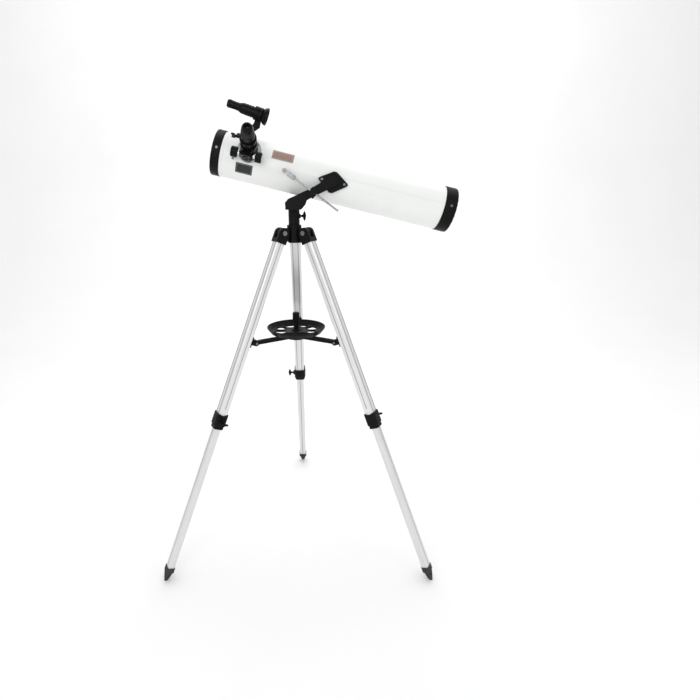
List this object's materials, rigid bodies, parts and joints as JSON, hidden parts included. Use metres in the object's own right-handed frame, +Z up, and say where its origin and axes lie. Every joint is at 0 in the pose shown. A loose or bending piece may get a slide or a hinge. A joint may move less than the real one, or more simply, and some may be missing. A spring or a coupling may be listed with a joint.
{
  "type": "newtonian reflector telescope",
  "caption": "White-tubed Newtonian reflector on an alt-azimuth fork with slow-motion rod, finder, rack focuser, and an extending aluminium tripod with accessory tray.",
  "frame": {"origin": "on the floor under the tripod centre line", "axes": "+Z up; the sky end of the tube points to -X and is raised; the focuser and the slow-motion rod are on the -Y side; one leg points to +Y"},
  "size_m": [0.8227, 0.6601, 1.297],
  "materials": {
    "white_enamel": "gloss white enamel",
    "black_plastic": "fine-grained black moulding",
    "black_gloss": "satin black",
    "leg_aluminium": "drawn and anodised",
    "bright_metal": "bright plated",
    "steel": "turned",
    "glass": "coated",
    "silvered": "aluminised front face",
    "black_rubber": "matt"
  },
  "bodies": {
    "tripod": {"hub": "black_plastic", "neck": "black_plastic", "hinge_bolts": "bright_metal"},
    "azimuth_lock": {"azimuth_lock_screw": "black_plastic"},
    "mount": {"fork": "black_plastic", "azimuth_shaft": "steel", "pivot_bolts": "black_plastic"},
    "tube": {"main_tube": "white_enamel", "front_ring": "black_plastic", "rear_cell": "black_plastic", "primary_mirror": "silvered", "mirror_cell": "steel", "collimation_screws": "bright_metal", "spider": "black_plastic", "secondary_holder": "black_plastic", "secondary_mirror": "silvered", "focuser_flange": "bright_metal", "focuser_housing": "black_gloss", "trunnion_plates": "black_plastic", "tube_screws": "bright_metal", "rod_bolt": "bright_metal", "finder_bracket": "black_plastic", "finder_tube": "black_gloss", "finder_objective": "glass"},
    "draw": {"drawtube": "bright_metal"},
    "focus_wheel": {"focuser_knobs": "black_gloss"},
    "eyepiece_lock": {"eyepiece_lock_screw": "bright_metal"},
    "ocular": {"eyepiece": "black_gloss", "eyepiece_lens": "glass"},
    "clamp_block": {"rod_clamp": "black_plastic"},
    "clamp_knob": {"rod_clamp_knob": "black_plastic"},
    "rod": {"slow_motion_rod": "bright_metal"},
    "sleeve": {"rod_sleeve": "bright_metal"},
    "leg_left": {"leg_socket_left": "black_plastic", "upper_leg_left": "leg_aluminium", "clamp_left": "black_plastic", "brace_bracket_left": "black_plastic"},
    "low_left": {"lower_leg_left": "leg_aluminium", "foot_left": "black_rubber"},
    "screw_left": {"clamp_screw_left": "black_plastic"},
    "brace_left": {"brace_arm_left": "black_plastic"},
    "leg_right": {"leg_socket_right": "black_plastic", "upper_leg_right": "leg_aluminium", "clamp_right": "black_plastic", "brace_bracket_right": "black_plastic"},
    "low_right": {"lower_leg_right": "leg_aluminium", "foot_right": "black_rubber"},
    "screw_right": {"clamp_screw_right": "black_plastic"},
    "brace_right": {"brace_arm_right": "black_plastic"},
    "leg_back": {"leg_socket_back": "black_plastic", "upper_leg_back": "leg_aluminium", "clamp_back": "black_plastic", "brace_bracket_back": "black_plastic"},
    "low_back": {"lower_leg_back": "leg_aluminium", "foot_back": "black_rubber"},
    "screw_back": {"clamp_screw_back": "black_plastic"},
    "brace_back": {"brace_arm_back": "black_plastic"},
    "tray_body": {"tray": "black_plastic", "tray_knob": "black_plastic", "brace_hub": "black_plastic"}
  },
  "joints": [
    {"name": "azimuth_turn", "type": "hinge", "parent": "tripod", "child": "mount", "pos_m": [0, 0, 0.99], "axis": [0, 0, 1], "continuous": true},
    {"name": "azimuth_lock_turn", "type": "hinge", "parent": "tripod", "child": "azimuth_lock", "pos_m": [0.02, 0, 0.995], "axis": [1, 0, 0], "continuous": true},
    {"name": "altitude_tilt", "type": "hinge", "parent": "mount", "child": "tube", "pos_m": [0.104, 0, 1.084], "axis": [0, 1, 0], "range_deg": [-14, 50]},
    {"name": "rod_swing", "type": "hinge", "parent": "tube", "child": "rod", "pos_m": [-0.0187, -0.081, 1.113], "axis": [0, 1, 0], "range_deg": [-1, 2.6]},
    {"name": "rod_clamp_swivel", "type": "hinge", "parent": "mount", "child": "clamp_block", "pos_m": [0.053, -0.07, 1.0568], "axis": [0, 1, 0], "range_deg": [-15, 53]},
    {"name": "rod_clamp_knob_turn", "type": "hinge", "parent": "clamp_block", "child": "clamp_knob", "pos_m": [0.053, -0.09, 1.0568], "axis": [0, -1, 0], "continuous": true},
    {"name": "rod_sleeve_turn", "type": "hinge", "parent": "rod", "child": "sleeve", "pos_m": [-0.00274, -0.081, 1.10094], "axis": [0.7978, 0, -0.6029], "continuous": true},
    {"name": "focus_knob_turn", "type": "hinge", "parent": "tube", "child": "focus_wheel", "pos_m": [-0.11354, -0.0891, 1.15248], "axis": [0.9691, 0, -0.2467], "range_deg": [-86, 120]},
    {"name": "drawtube_slide", "type": "slide", "parent": "tube", "child": "draw", "axis": [0.0924, -0.9272, 0.363], "range_m": [-0.01, 0.0134]},
    {"name": "eyepiece_lock_turn", "type": "hinge", "parent": "draw", "child": "eyepiece_lock", "pos_m": [-0.12406, -0.11126, 1.19222], "axis": [-0.9691, 0, 0.2467], "continuous": true},
    {"name": "eyepiece_slide", "type": "slide", "parent": "draw", "child": "ocular", "axis": [0.0924, -0.9272, 0.363], "range_m": [0, 0.024]},
    {"name": "leg_fold_left", "type": "hinge", "parent": "tripod", "child": "leg_left", "pos_m": [-0.0336, -0.0194, 0.95], "axis": [0.5, -0.866, 0], "range_deg": [0, 4]},
    {"name": "brace_fold_left", "type": "hinge", "parent": "leg_left", "child": "brace_left", "pos_m": [-0.11279, -0.06512, 0.64916], "axis": [0.5, -0.866, 0], "range_deg": [0, 32.2]},
    {"name": "leg_extend_left", "type": "slide", "parent": "leg_left", "child": "low_left", "axis": [0.3298, 0.1904, 0.9247], "range_m": [-0.02, 0.38]},
    {"name": "clamp_screw_turn_left", "type": "hinge", "parent": "leg_left", "child": "screw_left", "pos_m": [-0.20431, -0.14105, 0.44328], "axis": [0.5, -0.866, 0], "continuous": true},
    {"name": "leg_fold_right", "type": "hinge", "parent": "tripod", "child": "leg_right", "pos_m": [0.0336, -0.0194, 0.95], "axis": [0.5, 0.866, 0], "range_deg": [0, 4]},
    {"name": "brace_fold_right", "type": "hinge", "parent": "leg_right", "child": "brace_right", "pos_m": [0.11279, -0.06512, 0.64916], "axis": [0.5, 0.866, 0], "range_deg": [0, 32.2]},
    {"name": "leg_extend_right", "type": "slide", "parent": "leg_right", "child": "low_right", "axis": [-0.3298, 0.1904, 0.9247], "range_m": [-0.02, 0.38]},
    {"name": "clamp_screw_turn_right", "type": "hinge", "parent": "leg_right", "child": "screw_right", "pos_m": [0.22431, -0.10641, 0.44328], "axis": [0.5, 0.866, 0], "continuous": true},
    {"name": "leg_fold_back", "type": "hinge", "parent": "tripod", "child": "leg_back", "pos_m": [0, 0.0388, 0.95], "axis": [-1, 0, 0], "range_deg": [0, 4]},
    {"name": "brace_fold_back", "type": "hinge", "parent": "leg_back", "child": "brace_back", "pos_m": [0, 0.13024, 0.64916], "axis": [-1, 0, 0], "range_deg": [0, 32.2]},
    {"name": "leg_extend_back", "type": "slide", "parent": "leg_back", "child": "low_back", "axis": [0, -0.3808, 0.9247], "range_m": [-0.02, 0.38]},
    {"name": "clamp_screw_turn_back", "type": "hinge", "parent": "leg_back", "child": "screw_back", "pos_m": [-0.02, 0.24746, 0.44328], "axis": [-1, 0, 0], "continuous": true},
    {"name": "tray_lift", "type": "slide", "parent": "tripod", "child": "tray_body", "axis": [0, 0, 1], "range_m": [0, 0.0605]}
  ],
  "couplings": [
    {"joint": "rod_swing", "follows": "altitude_tilt", "ratio": 0.05},
    {"joint": "rod_clamp_swivel", "follows": "altitude_tilt", "ratio": 1.05},
    {"joint": "drawtube_slide", "follows": "focus_knob_turn", "m_per_rad": 0.0063},
    {"joint": "leg_fold_right", "follows": "leg_fold_left", "ratio": 1},
    {"joint": "leg_fold_back", "follows": "leg_fold_left", "ratio": 1},
    {"joint": "brace_fold_left", "follows": "leg_fold_left", "ratio": 8},
    {"joint": "brace_fold_right", "follows": "leg_fold_left", "ratio": 8},
    {"joint": "brace_fold_back", "follows": "leg_fold_left", "ratio": 8},
    {"joint": "tray_lift", "follows": "leg_fold_left", "m_per_rad": 0.86}
  ]
}
